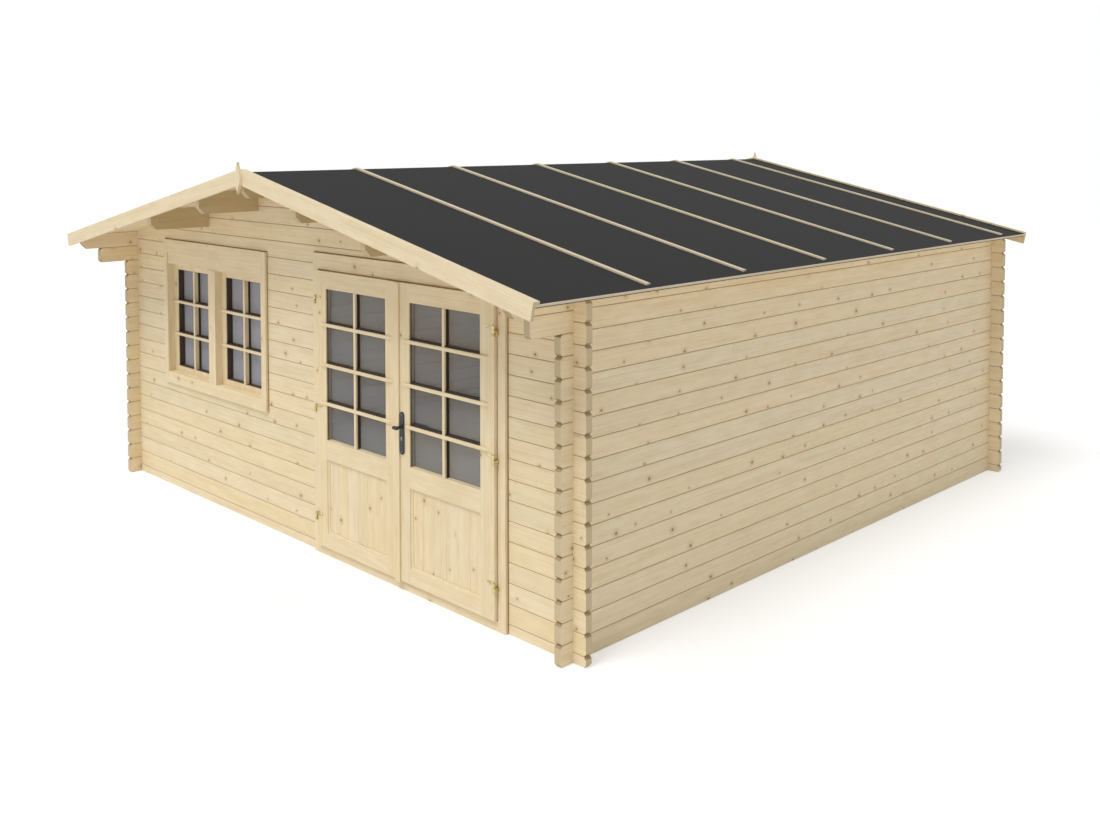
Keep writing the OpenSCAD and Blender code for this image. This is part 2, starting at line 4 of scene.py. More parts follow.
import bmesh
import bpy
from mathutils import Matrix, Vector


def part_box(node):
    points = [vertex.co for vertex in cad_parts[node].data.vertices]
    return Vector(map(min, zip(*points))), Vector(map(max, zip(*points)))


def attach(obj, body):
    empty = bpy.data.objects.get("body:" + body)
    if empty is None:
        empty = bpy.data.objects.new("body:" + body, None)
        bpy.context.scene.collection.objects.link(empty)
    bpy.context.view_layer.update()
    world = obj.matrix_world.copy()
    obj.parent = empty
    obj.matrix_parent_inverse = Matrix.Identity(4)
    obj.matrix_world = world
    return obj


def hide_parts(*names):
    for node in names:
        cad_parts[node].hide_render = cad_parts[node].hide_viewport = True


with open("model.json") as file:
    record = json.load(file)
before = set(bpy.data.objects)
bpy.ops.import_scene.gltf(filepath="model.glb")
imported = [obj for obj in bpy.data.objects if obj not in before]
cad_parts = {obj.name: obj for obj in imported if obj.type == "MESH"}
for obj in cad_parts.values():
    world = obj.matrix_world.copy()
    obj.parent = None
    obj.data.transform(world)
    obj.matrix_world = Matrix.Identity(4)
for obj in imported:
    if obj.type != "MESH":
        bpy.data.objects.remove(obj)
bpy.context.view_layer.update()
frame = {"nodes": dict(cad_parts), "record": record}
nodes = frame["nodes"]
scene = bpy.context.scene
scene.view_settings.view_transform = "Standard"
print("frame loaded,", len(nodes), "nodes")


# camera, lamps and floor

view = {"place": (6.4709, -6.4848, 2.7118), "yaw": 45.0098, "pitch": -2.8458,
        "lens": 37.8883, "sensor": 36.0, "shiftDown": 0.20}
light = {"sky": 0.52, "skyColour": (1.0, 0.99, 0.97), "sun": 1.62, "sunTurn": (29, 0, -3),
         "sunSize": 25.0, "room": 44.0, "roomSize": 3.0, "roomPlace": (0, 0.1, 1.9)}
ground = {"size": 60.0, "colour": (0.97, 0.97, 0.97), "glow": 1.27, "glowShare": 0.36}


def feed(tree, socket, value):
    if isinstance(value, bpy.types.NodeSocket):
        tree.links.new(value, socket)
    else:
        socket.default_value = value


def newNode(tree, kind, **inputs):
    node = tree.nodes.new(kind)
    for name, value in inputs.items():
        feed(tree, node.inputs[name], value)
    return node


def calc(tree, operation, *values):
    node = tree.nodes.new("ShaderNodeMath")
    node.operation = operation
    for socket, value in zip(node.inputs, values):
        feed(tree, socket, value)
    return node.outputs[0]


def backdropShare(tree):
    path = newNode(tree, "ShaderNodeLightPath")
    share = calc(tree, "MAXIMUM", path.outputs["Is Camera Ray"], path.outputs["Is Glossy Ray"])
    return calc(tree, "MAXIMUM", share, path.outputs["Is Transmission Ray"])


def makeCamera():
    data = bpy.data.cameras.new("camera")
    data.lens = view["lens"]
    data.sensor_width = view["sensor"]
    data.shift_y = -view["shiftDown"]
    camera = bpy.data.objects.new("camera", data)
    camera.location = view["place"]
    camera.rotation_euler = (math.radians(90 + view["pitch"]), 0, math.radians(view["yaw"]))
    scene.collection.objects.link(camera)
    scene.camera = camera


def makeLight():
    world = bpy.data.worlds.new("studio")
    world.use_nodes = True
    scene.world = world
    tree = world.node_tree
    tree.nodes.clear()
    sky = newNode(tree, "ShaderNodeBackground", Color=(*light["skyColour"], 1), Strength=light["sky"])
    white = newNode(tree, "ShaderNodeBackground", Color=(1, 1, 1, 1), Strength=1.0)
    mix = newNode(tree, "ShaderNodeMixShader", Fac=backdropShare(tree))
    tree.links.new(sky.outputs[0], mix.inputs[1])
    tree.links.new(white.outputs[0], mix.inputs[2])
    out = newNode(tree, "ShaderNodeOutputWorld")
    tree.links.new(mix.outputs[0], out.inputs["Surface"])

    sunData = bpy.data.lights.new("keyLamp", "SUN")
    sunData.energy = light["sun"]
    sunData.angle = math.radians(light["sunSize"])
    sun = bpy.data.objects.new("keyLamp", sunData)
    sun.rotation_euler = [math.radians(turn) for turn in light["sunTurn"]]
    scene.collection.objects.link(sun)

    roomData = bpy.data.lights.new("roomLamp", "AREA")
    roomData.energy = light["room"]
    roomData.size = light["roomSize"]
    room = bpy.data.objects.new("roomLamp", roomData)
    room.location = light["roomPlace"]
    scene.collection.objects.link(room)


def makeFloor():
    bm = bmesh.new()
    bmesh.ops.create_grid(bm, x_segments=2, y_segments=2, size=ground["size"] / 2)
    mesh = bpy.data.meshes.new("studioFloor")
    bm.to_mesh(mesh)
    bm.free()
    floor = bpy.data.objects.new("studioFloor", mesh)
    scene.collection.objects.link(floor)
    material = bpy.data.materials.new("studioFloor")
    material.use_nodes = True
    tree = material.node_tree
    tree.nodes.clear()
    matt = newNode(tree, "ShaderNodeBsdfDiffuse", Color=(*ground["colour"], 1))
    glow = newNode(tree, "ShaderNodeEmission", Color=(1, 1, 1, 1), Strength=ground["glow"])
    share = calc(tree, "MULTIPLY", backdropShare(tree), ground["glowShare"])
    mix = newNode(tree, "ShaderNodeMixShader", Fac=share)
    tree.links.new(matt.outputs[0], mix.inputs[1])
    tree.links.new(glow.outputs[0], mix.inputs[2])
    out = newNode(tree, "ShaderNodeOutputMaterial")
    tree.links.new(mix.outputs[0], out.inputs["Surface"])
    mesh.materials.append(material)


makeCamera()
makeLight()
makeFloor()
print("camera, lamps and floor made")


# finishes

def colour(red, green, blue):
    channels = [c / 255 for c in (red, green, blue)]
    return tuple(c / 12.92 if c <= 0.04045 else ((c + 0.055) / 1.055) ** 2.4
                 for c in channels) + (1.0,)


def startMaterial(name, roughness, metallic=0.0):
    material = bpy.data.materials.new(name)
    material.use_nodes = True
    tree = material.node_tree
    shader = tree.nodes["Principled BSDF"]
    shader.inputs["Roughness"].default_value = roughness
    shader.inputs["Metallic"].default_value = metallic
    return material, tree, shader


def blendColour(tree, share, first, second, mode="MIX"):
    node = tree.nodes.new("ShaderNodeMix")
    node.data_type = "RGBA"
    node.blend_type = mode
    for socket, value in ((node.inputs[0], share), (node.inputs[6], first), (node.inputs[7], second)):
        feed(tree, socket, value)
    return node.outputs[2]


def ramp(tree, value, low, high, bottom=0.0, top=1.0, smooth=True):
    node = tree.nodes.new("ShaderNodeMapRange")
    node.interpolation_type = "SMOOTHSTEP" if smooth else "LINEAR"
    for socket, given in zip(node.inputs, (value, low, high, bottom, top)):
        feed(tree, socket, given)
    return node.outputs[0]


def joined(tree, x, y, z):
    node = tree.nodes.new("ShaderNodeCombineXYZ")
    for socket, value in zip(node.inputs, (x, y, z)):
        feed(tree, socket, value)
    return node.outputs[0]


def lengthOf(tree, x, y):
    node = tree.nodes.new("ShaderNodeVectorMath")
    node.operation = "LENGTH"
    tree.links.new(joined(tree, x, y, 0), node.inputs[0])
    return node.outputs["Value"]


def noiseAt(tree, vector, scale, detail=2.0, rough=0.5):
    node = newNode(tree, "ShaderNodeTexNoise", Vector=vector, Scale=scale, Detail=detail, Roughness=rough)
    return node.outputs["Fac"]


# a figure is its scale along the grain and across it, then detail and roughness
pine = {"early": colour(240, 224, 190), "late": colour(220, 197, 154), "knot": colour(160, 128, 91),
        "halo": colour(206, 178, 136), "end": colour(208, 190, 155), "endRing": colour(188, 168, 132),
        # the chamfer colour of log ends is partly sawn end grain, partly painted shade in the notches
        "sawnShade": colour(172, 149, 112), "joint": colour(150, 122, 84), "roughness": 0.62,
        # the joint colour is painted shade along the joints between logs and boards
        "ringStep": 0.0145, "ringLean": 0.6, "ringWander": 7.0, "ringRoundKnot": 1.6, "ringSharp": 2.2,
        "ringShare": 0.12, "streakShare": 0.36, "blotchShare": 0.3, "fibreShare": 0.14, "haloShare": 0.5,
        "endStep": 0.0052, "endWander": 0.012, "pithDepth": 0.03, "seedReach": 41.0, "seedBend": 9.0,
        "knotStep": 0.36, "knotLong": 0.85, "knotLeast": 0.005, "knotMore": 0.007,
        "slow": (0.7, 5.0, 2.0, 0.5), "streak": (1.6, 62.0, 4.0, 0.6), "blotch": (5.0, 16.0, 3.0, 0.6),
        "fibre": (16.0, 520.0, 2.0, 0.5),
        "tone": {"Value": (1.0, 0.055, 0.025), "Saturation": (1.0, 0.12, 0.1), "Hue": (0.5, 0.006, 0.004)}}


# places and normals by axis; on the roof, s runs down a slope and n out of it, alike on both sides
def readAxes(tree, slope):
    coords = newNode(tree, "ShaderNodeTexCoord")
    place = dict(zip("xyz", newNode(tree, "ShaderNodeSeparateXYZ", Vector=coords.outputs["Object"]).outputs))
    facing = dict(zip("xyz", newNode(tree, "ShaderNodeSeparateXYZ", Vector=coords.outputs["Normal"]).outputs))
    if slope:
        lean = math.radians(slope)
        half = calc(tree, "ABSOLUTE", place["x"])
        halfFacing = calc(tree, "MULTIPLY", facing["x"], calc(tree, "SIGN", place["x"]))
        down = calc(tree, "MULTIPLY", half, math.cos(lean))
        place["s"] = calc(tree, "MULTIPLY_ADD", place["z"], -math.sin(lean), down)
        rise = calc(tree, "MULTIPLY", half, math.sin(lean))
        place["n"] = calc(tree, "MULTIPLY_ADD", place["z"], math.cos(lean), rise)
        turned = calc(tree, "MULTIPLY", halfFacing, math.cos(lean))
        facing["s"] = calc(tree, "MULTIPLY_ADD", facing["z"], -math.sin(lean), turned)
    return place, facing


def knotMarks(tree, along, row, pitch, knotShare, edgeFacing):
    cells = newNode(tree, "ShaderNodeTexVoronoi", Scale=1.0, Randomness=0.85)
    cells.voronoi_dimensions = "2D"
    step = calc(tree, "DIVIDE", along, pine["knotStep"])
    tree.links.new(joined(tree, step, row, 0), cells.inputs["Vector"])
    middle = newNode(tree, "ShaderNodeSeparateXYZ", Vector=cells.outputs["Position"])
    offAlong = calc(tree, "SUBTRACT", step, middle.outputs[0])
    offAlong = calc(tree, "MULTIPLY", offAlong, pine["knotStep"] * pine["knotLong"])
    offAcross = calc(tree, "MULTIPLY", calc(tree, "SUBTRACT", row, middle.outputs[1]), pitch)
    chance = newNode(tree, "ShaderNodeSeparateColor", Color=cells.outputs["Color"])
    present = calc(tree, "LESS_THAN", chance.outputs[1], knotShare)
    if edgeFacing is not None:  # no knot is drawn out along a board's edge
        flat = calc(tree, "LESS_THAN", calc(tree, "ABSOLUTE", edgeFacing), 0.6)
        present = calc(tree, "MULTIPLY", present, flat)
    size = calc(tree, "MULTIPLY_ADD", chance.outputs[0], pine["knotMore"], pine["knotLeast"])
    away = calc(tree, "DIVIDE", lengthOf(tree, offAlong, offAcross), size)
    core = calc(tree, "MULTIPLY", ramp(tree, away, 0.4, 1.1, 1, 0), present)
    halo = calc(tree, "MULTIPLY", ramp(tree, away, 0.6, 3.6, 1, 0), present)
    return core, halo


def growthRings(tree, across, depth, slow, halo):
    rings = calc(tree, "MULTIPLY_ADD", depth, pine["ringLean"], across)
    rings = calc(tree, "DIVIDE", rings, pine["ringStep"])
    rings = calc(tree, "MULTIPLY_ADD", slow, pine["ringWander"], rings)
    rings = calc(tree, "MULTIPLY_ADD", halo, pine["ringRoundKnot"], rings)
    rings = calc(tree, "SINE", calc(tree, "MULTIPLY", rings, 2 * math.pi))
    return calc(tree, "POWER", calc(tree, "MULTIPLY_ADD", rings, 0.5, 0.5), pine["ringSharp"])


def endGrain(tree, row, seed, depth, slow, pitch):
    pith = calc(tree, "MULTIPLY", calc(tree, "SUBTRACT", calc(tree, "FRACT", row), seed), pitch)
    reach = lengthOf(tree, pith, calc(tree, "ADD", depth, pine["pithDepth"]))
    reach = calc(tree, "MULTIPLY_ADD", slow, pine["endWander"], reach)
    rings = calc(tree, "SINE", calc(tree, "MULTIPLY", reach, 2 * math.pi / pine["endStep"]))
    return blendColour(tree, calc(tree, "MULTIPLY_ADD", rings, 0.35, 0.4), pine["end"], pine["endRing"])


# grain is the direction that the piece runs in, stack the one in which its boards follow each other
def pineMaterial(name, grain, stack, pitch, start=0.0, slope=0.0, jointShadeWidth=0.0035, tintAndShade=None,
                 knotShare=0.48, spread=0.6, sawnShade=0.0):
    material, tree, shader = startMaterial(name, pine["roughness"])
    place, facing = readAxes(tree, slope)
    across = place[stack]
    depth = next(place[axis] for axis in ("sny" if slope else "xyz") if axis not in (grain, stack))
    row = calc(tree, "DIVIDE", calc(tree, "SUBTRACT", across, start), pitch)
    white = tree.nodes.new("ShaderNodeTexWhiteNoise")
    white.noise_dimensions = "2D"
    board = joined(tree, calc(tree, "FLOOR", row), calc(tree, "SIGN", depth), 0)
    tree.links.new(board, white.inputs["Vector"])
    seed = white.outputs["Value"]
    along = calc(tree, "MULTIPLY_ADD", seed, pine["seedReach"], place[grain])

    def figureNoise(figure, shift=0.0):
        long, wide, detail, rough = pine[figure]
        spot = joined(tree, calc(tree, "MULTIPLY", along, long), calc(tree, "MULTIPLY", across, wide),
                      calc(tree, "MULTIPLY_ADD", depth, wide, shift))
        return noiseAt(tree, spot, 1.0, detail, rough)

    core, halo = knotMarks(tree, along, row, pitch, knotShare, facing.get(stack))
    slow = figureNoise("slow", calc(tree, "MULTIPLY", seed, pine["seedBend"]))
    rings = growthRings(tree, across, depth, slow, halo)
    streak, blotch, fibre = (figureNoise(figure) for figure in ("streak", "blotch", "fibre"))

    lateShare = ramp(tree, streak, 0.36, 0.74, 0, pine["streakShare"])
    lateShare = calc(tree, "MULTIPLY_ADD", rings, pine["ringShare"], lateShare)
    lateShare = calc(tree, "ADD", ramp(tree, blotch, 0.3, 0.7, 0, pine["blotchShare"]), lateShare)
    lateShare = calc(tree, "MULTIPLY_ADD", fibre, pine["fibreShare"], lateShare)
    body = blendColour(tree, lateShare, pine["early"], pine["late"])
    body = blendColour(tree, calc(tree, "MULTIPLY", halo, pine["haloShare"]), body, pine["halo"])
    body = blendColour(tree, core, body, pine["knot"])
    shade = newNode(tree, "ShaderNodeSeparateColor", Color=white.outputs["Color"])
    tone = newNode(tree, "ShaderNodeHueSaturation", Color=body)
    for channel, (quality, (usual, less, more)) in zip(shade.outputs, pine["tone"].items()):
        varied = ramp(tree, channel, 0, 1, usual - less * spread, usual + more * spread, False)
        tree.links.new(varied, tone.inputs[quality])
    body = tone.outputs[0]
    # the tint multiplies the colour: a colour tint on the felt strips and eave battens, painted shade on the
    # purlins
    if tintAndShade:
        body = blendColour(tree, 1.0, body, tintAndShade, "MULTIPLY")

    cut = calc(tree, "ABSOLUTE", facing[grain])
    body = blendColour(tree, ramp(tree, cut, 0.5, 0.62, 0, sawnShade), body, pine["sawnShade"])  # chamfered ends: partly darker sawn end grain, partly painted shade in the notches between log ends
    ends = endGrain(tree, row, seed, depth, slow, pitch)
    body = blendColour(tree, ramp(tree, cut, 0.78, 0.9), body, ends)
    # painted shade: the colour darkens towards each board's edges, as shade in the joints
    if jointShadeWidth:
        edge = calc(tree, "ABSOLUTE", calc(tree, "SUBTRACT", calc(tree, "FRACT", row), 0.5))
        edge = calc(tree, "MULTIPLY", calc(tree, "SUBTRACT", 0.5, edge), pitch)
        body = blendColour(tree, ramp(tree, edge, 0.0, jointShadeWidth, 0.8, 0.0), body, pine["joint"])
    tree.links.new(body, shader.inputs["Base Color"])

    height = calc(tree, "MULTIPLY_ADD", fibre, 0.5, calc(tree, "MULTIPLY", rings, 0.5))
    height = calc(tree, "MULTIPLY_ADD", core, 0.8, height)
    bump = newNode(tree, "ShaderNodeBump", Height=height, Strength=0.25, Distance=0.0006)
    tree.links.new(bump.outputs[0], shader.inputs["Normal"])
    gloss = calc(tree, "MULTIPLY_ADD", streak, 0.2, pine["roughness"] - 0.1)
    tree.links.new(gloss, shader.inputs["Roughness"])
    return material


def feltMaterial():
    felt = {"dark": colour(25, 24, 24), "pale": colour(37, 36, 35), "grain": 900.0, "cloud": 1.7,
            "roughness": 0.9, "specular": 0.3}
    material, tree, shader = startMaterial("roofingFelt", felt["roughness"])
    shader.inputs["Specular IOR Level"].default_value = felt["specular"]
    coords = newNode(tree, "ShaderNodeTexCoord").outputs["Object"]
    grains = noiseAt(tree, coords, felt["grain"], 2.0, 0.7)
    cloud = noiseAt(tree, coords, felt["cloud"], 4.0)
    share = calc(tree, "MULTIPLY", cloud, 0.3)
    share = calc(tree, "MULTIPLY_ADD", ramp(tree, grains, 0.35, 0.7), 0.55, share)
    tree.links.new(blendColour(tree, share, felt["dark"], felt["pale"]), shader.inputs["Base Color"])
    bump = newNode(tree, "ShaderNodeBump", Height=grains, Strength=0.5, Distance=0.001)
    tree.links.new(bump.outputs[0], shader.inputs["Normal"])
    tree.links.new(ramp(tree, grains, 0, 1, 0.82, 0.98), shader.inputs["Roughness"])
    return material


glassLook = {"roughness": 0.06, "ior": 1.12, "reflectionCloud": 1.3, "smear": 5.0}


def glassMaterial(name, low, high, cover):
    material, tree, shader = startMaterial(name, glassLook["roughness"])
    coords = newNode(tree, "ShaderNodeTexCoord").outputs["Object"]
    reflectionCloud = noiseAt(tree, coords, glassLook["reflectionCloud"], 3.0)
    # the veil colour is painted reflection, clouded between two tones
    tree.links.new(blendColour(tree, ramp(tree, reflectionCloud, 0.3, 0.7), low, high), shader.inputs["Base Color"])
    smear = ramp(tree, noiseAt(tree, coords, glassLook["smear"], 3.0), 0.3, 0.7, 0.04, 0.1)
    tree.links.new(smear, shader.inputs["Roughness"])
    shader.inputs["Alpha"].default_value = cover
    shader.inputs["IOR"].default_value = glassLook["ior"]
    return material


metalLook = {"patch": 60.0, "fine": 1400.0}


def metalMaterial(name, base, wearAndReflection, roughness, metallic):
    material, tree, shader = startMaterial(name, roughness, metallic)
    coords = newNode(tree, "ShaderNodeTexCoord").outputs["Object"]
    patch = noiseAt(tree, coords, metalLook["patch"], 3.0)
    fine = noiseAt(tree, coords, metalLook["fine"], 2.0)
    # the second colour is mottled wear on most metals, painted reflection on the brass
    tree.links.new(blendColour(tree, ramp(tree, patch, 0.35, 0.75), base, wearAndReflection), shader.inputs["Base Color"])
    tree.links.new(ramp(tree, patch, 0.3, 0.7, roughness - 0.08, roughness + 0.1), shader.inputs["Roughness"])
    bump = newNode(tree, "ShaderNodeBump", Height=fine, Strength=0.12, Distance=0.0003)
    tree.links.new(bump.outputs[0], shader.inputs["Normal"])
    return material


course = 0.114
roofBoards = {"pitch": 12.1, "wide": 0.096, "start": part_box("right_roof_boards")[0].y, "thick": 0.018,
              "ridgeGap": 0.0006, "split": 0.0004, "roundOff": 0.0028}
finish = {
    "sideLogs": pineMaterial("pineSideLogs", "y", "z", course, sawnShade=1.0),
    "crossLogs": pineMaterial("pineCrossLogs", "x", "z", course, -course / 2, sawnShade=1.0),
    # the purlins' darker tint is painted shade, as under the roof's overhang
    "purlin": pineMaterial("pinePurlins", "y", "x", 0.3, -0.15, jointShadeWidth=0, tintAndShade=colour(214, 208, 192)),
    "roofBoards": pineMaterial("pineRoofBoards", "s", "y", roofBoards["wide"], roofBoards["start"],
                               slope=roofBoards["pitch"]),
    "slopeTrim": pineMaterial("pineSlopeTrim", "s", "n", 0.4, 2.25, slope=roofBoards["pitch"], jointShadeWidth=0,
                              knotShare=1.0, spread=0.4),
    "strip": pineMaterial("pineFeltStrips", "s", "y", 0.2, slope=roofBoards["pitch"], jointShadeWidth=0,
                          knotShare=0.0, tintAndShade=colour(238, 240, 248)),
    "batten": pineMaterial("pineEaveBattens", "y", "x", 0.3, jointShadeWidth=0, knotShare=0.0,
                           tintAndShade=colour(226, 226, 232)),
    "finial": pineMaterial("pineFinials", "z", "x", 0.4, -0.2, jointShadeWidth=0, knotShare=0.0),
    "upright": pineMaterial("pineUprights", "z", "x", 0.171, 0.0, jointShadeWidth=0, spread=0.5),
    "rail": pineMaterial("pineRails", "x", "z", 0.21, -0.05, jointShadeWidth=0, spread=0.5),
    "panel": pineMaterial("pinePanelBoards", "z", "x", 0.1034, 0.31, jointShadeWidth=0, knotShare=0.7),
    "floorBoards": pineMaterial("pineFloorBoards", "y", "x", 0.121, -2.395),
    "joist": pineMaterial("pineJoists", "x", "y", 0.53, -2.3, jointShadeWidth=0),
    "bars": pineMaterial("pineBars", "x", "z", 0.12, 0.0, jointShadeWidth=0, knotShare=0.05, spread=0.3),
    "uprightBars": pineMaterial("pineUprightBars", "z", "x", 0.2, 0.0, jointShadeWidth=0, knotShare=0.05,
                                spread=0.3),
    "felt": feltMaterial(),
    # the panes' grey-blue veils are painted reflection, paler on the window panes than on the door panes
    "doorGlass": glassMaterial("doorGlass", colour(94, 112, 131), colour(105, 123, 141), 0.52),
    "windowGlass": glassMaterial("windowGlass", colour(153, 166, 188), colour(165, 177, 198), 0.52),
    # the brass's darker patches are painted reflection of dark surroundings
    "brass": metalMaterial("hingeBrass", colour(226, 213, 164), colour(164, 146, 92), 0.24, 1.0),
    "black": metalMaterial("handleBlack", colour(38, 40, 44), colour(52, 54, 58), 0.42, 0.0),
    "steel": metalMaterial("screwSteel", colour(176, 176, 172), colour(140, 140, 138), 0.35, 1.0),
    # the near-black webs behind the glazing bars are painted shade in the gap between bar and glass
    "shadeWeb": metalMaterial("glazingShadeWeb", colour(44, 36, 27), colour(56, 47, 35), 0.6, 0.0),
    # the dark brown reveal strips are painted shade round the window panes
    "revealShade": metalMaterial("glazingRevealShade", colour(66, 55, 42), colour(80, 68, 52), 0.6, 0.0),
    # the pale grey gasket strips are painted light, brightened against the shade at the pane edges
    "gasket": metalMaterial("glazingGasketLit", colour(160, 155, 147), colour(170, 165, 157), 0.7, 0.0),
    # the brown lining at the door panes' sides is painted shade of the stiles' rebates
    "lining": metalMaterial("glazingLiningShade", colour(126, 107, 78), colour(110, 92, 66), 0.6, 0.0),
    # the brown strips round the casings are painted shade of the gap at the logs
    "shadeStrip": metalMaterial("casingShadeStrip", colour(148, 126, 93), colour(134, 113, 82), 0.6, 0.0),
}
wearing = {
    "sideLogs": ["left_wall_logs", "right_wall_logs", "left_wall_plate", "right_wall_plate"],
    "crossLogs": ["front_lower_logs", "front_corner_logs", "front_middle_logs", "front_right_logs",
                  "front_gable_logs", "rear_wall_logs", "rear_gable_logs"],
    "purlin": ["ridge_purlin", "purlins"],
    "roofBoards": ["left_roof_boards", "right_roof_boards"],
    "slopeTrim": ["front_bargeboards", "rear_bargeboards", "front_cap_strips"],
    "strip": ["left_felt_strips", "right_felt_strips"],
    "batten": ["left_eave_batten", "right_eave_batten"],
    "finial": ["front_finial", "rear_finial"],
    "upright": ["door_left_post", "door_right_post", "left_leaf_stiles", "right_leaf_stiles",
                "window_posts", "window_sashes"],
    "rail": ["door_head", "door_sill", "left_leaf_rails", "right_leaf_rails", "window_head", "window_sill"],
    "panel": ["left_leaf_panel", "right_leaf_panel"],
    "floorBoards": ["floor_deck"],
    "joist": ["floor_joists"],
    "felt": ["roof_felt"],
    "doorGlass": ["left_leaf_glass", "right_leaf_glass"],
    "windowGlass": ["window_glass"],
    "brass": ["frame_hinge_halves", "left_hinge_halves", "right_hinge_halves"],
    "black": ["handle_plates", "door_handle"],
}
for finishName, names in wearing.items():
    for name in names:
        mesh = nodes[name].data
        mesh.materials.clear()
        mesh.materials.append(finish[finishName])
print("finishes on", sum(len(names) for names in wearing.values()), "nodes")


# pieces

def finishPiece(name, bm, look, body, replaced=()):
    bmesh.ops.recalc_face_normals(bm, faces=bm.faces)
    mesh = bpy.data.meshes.new(name)
    bm.to_mesh(mesh)
    bm.free()
    mesh.materials.append(finish[look])
    piece = bpy.data.objects.new(name, mesh)
    scene.collection.objects.link(piece)
    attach(piece, body)
    if replaced:
        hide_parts(*replaced)
    return piece


def roundEdges(bm, edges, width, segments=2):
    bmesh.ops.bevel(bm, geom=edges, offset=width, segments=segments, profile=0.5,
                    affect="EDGES", material=-1)


def edgesOf(verts):
    return list(dict.fromkeys(edge for vert in verts for edge in vert.link_edges))


def addBlock(bm, low, high, roundOff=0.0, segments=2):
    made = bmesh.ops.create_cube(bm, size=1.0)["verts"]
    bmesh.ops.scale(bm, vec=[b - a for a, b in zip(low, high)], verts=made)
    bmesh.ops.translate(bm, vec=[(a + b) / 2 for a, b in zip(low, high)], verts=made)
    if roundOff:
        roundEdges(bm, edgesOf(made), roundOff, segments)
    return made


# a bar along x whose two ends slant down to the face that they lap
def addBar(bm, x0, x1, front, back, z0, z1, slant, roundOff):
    made = addBlock(bm, (x0, front, z0), (x1, back, z1))
    for vert in made:
        if vert.co.y < (front + back) / 2:
            vert.co.x += slant if vert.co.x < (x0 + x1) / 2 else -slant
    roundEdges(bm, edgesOf(made), roundOff)


# a plate with two round ends that are reachX or reachZ from its middle, from y0 to y1
def addRoundPlate(bm, x, z, reachX, reachZ, radius, y0, y1, roundOff, sides=20):
    made = bmesh.ops.create_circle(bm, cap_ends=True, segments=sides, radius=radius)["verts"]
    bmesh.ops.rotate(bm, verts=made, cent=(0, 0, 0), matrix=Matrix.Rotation(math.pi / sides, 3, "Z"))
    bmesh.ops.rotate(bm, verts=made, cent=(0, 0, 0), matrix=Matrix.Rotation(math.pi / 2, 3, "X"))
    for vert in made:
        vert.co.x += math.copysign(reachX, vert.co.x)
        vert.co.z += math.copysign(reachZ, vert.co.z)
    bmesh.ops.translate(bm, vec=(x, y0, z), verts=made)
    raised = bmesh.ops.extrude_face_region(bm, geom=[made[0].link_faces[0]])["geom"]
    raised = [vert for vert in raised if isinstance(vert, bmesh.types.BMVert)]
    bmesh.ops.translate(bm, vec=(0, y1 - y0, 0), verts=raised)
    rims = [edge for edge in edgesOf(made + raised) if abs(edge.verts[0].co.y - edge.verts[1].co.y) < 1e-6]
    roundEdges(bm, rims, roundOff)


def addRod(bm, x, y, z0, z1, radius, roundOff, sides=20):
    made = bmesh.ops.create_cone(bm, cap_ends=True, segments=sides, radius1=radius, radius2=radius,
                                 depth=z1 - z0)["verts"]
    bmesh.ops.translate(bm, vec=(x, y, (z0 + z1) / 2), verts=made)
    rims = [edge for edge in edgesOf(made) if abs(edge.verts[0].co.z - edge.verts[1].co.z) < 1e-6]
    roundEdges(bm, rims, roundOff)


# a mitred frame that falls from its outer to its inner edge
def addMoulding(bm, x0, x1, z0, z1, width, back, outer, inner):
    made = bmesh.ops.create_grid(bm, x_segments=1, y_segments=1, size=0.5)["verts"]
    bmesh.ops.rotate(bm, verts=made, cent=(0, 0, 0), matrix=Matrix.Rotation(math.pi / 2, 3, "X"))
    bmesh.ops.scale(bm, vec=(x1 - x0, 1, z1 - z0), verts=made)
    bmesh.ops.translate(bm, vec=((x0 + x1) / 2, back, (z0 + z1) / 2), verts=made)
    field = made[0].link_faces[0]
    ring = bmesh.ops.inset_region(bm, faces=[field], thickness=width, use_boundary=True,
                                  use_even_offset=True)["faces"]
    bmesh.ops.delete(bm, geom=[field], context="FACES")
    for vert in bmesh.ops.extrude_face_region(bm, geom=ring)["geom"]:
        if isinstance(vert, bmesh.types.BMVert):
            inset = min(vert.co.x - x0, x1 - vert.co.x, vert.co.z - z0, z1 - vert.co.z)
            vert.co.y = inner if inset > width / 2 else outer


# boards side by side along x that fill a box
def addBoards(bm, low, high, values):
    wide = (high.x - low.x) / values["boards"]
    for number in range(values["boards"]):
        x = low.x + number * wide
        addBlock(bm, (x, low.y, low.z), (x + wide - values["split"], high.y, high.z), values["roundOff"], 1)


def jointPlace(body):
    joints = frame["record"]["behaviour"]["joints"]
    return next(joint["pos_m"] for joint in joints if joint["child"] == body)


# small fits of all the glazing
glazing = {"clear": 0.0005, "hair": 0.0003, "proud": 0.004, "webBack": 0.001, "webEdge": 0.001,
           "softEdge": 0.0008}
doorBars = {"heights": (1.505, 1.248, 1.001), "tall": 0.021, "wide": 0.022, "thick": 0.0125, "slant": 0.02,
            "roundOff": 0.0025, "web": 0.019, "webRise": 0.009, "bead": 0.003, "deep": 0.011,
            "lining": 0.006, "gasket": 0.017}
leafPanel = {"boards": 6, "split": 0.0004, "roundOff": 0.0022, "bead": 0.013, "beadRise": 0.009,
             "beadLip": 0.003}
leaves = {"left_leaf": ((0.238, 0.995),) * 3, "right_leaf": ((1.09, 1.85), (1.09, 1.85), (1.112, 1.85))}


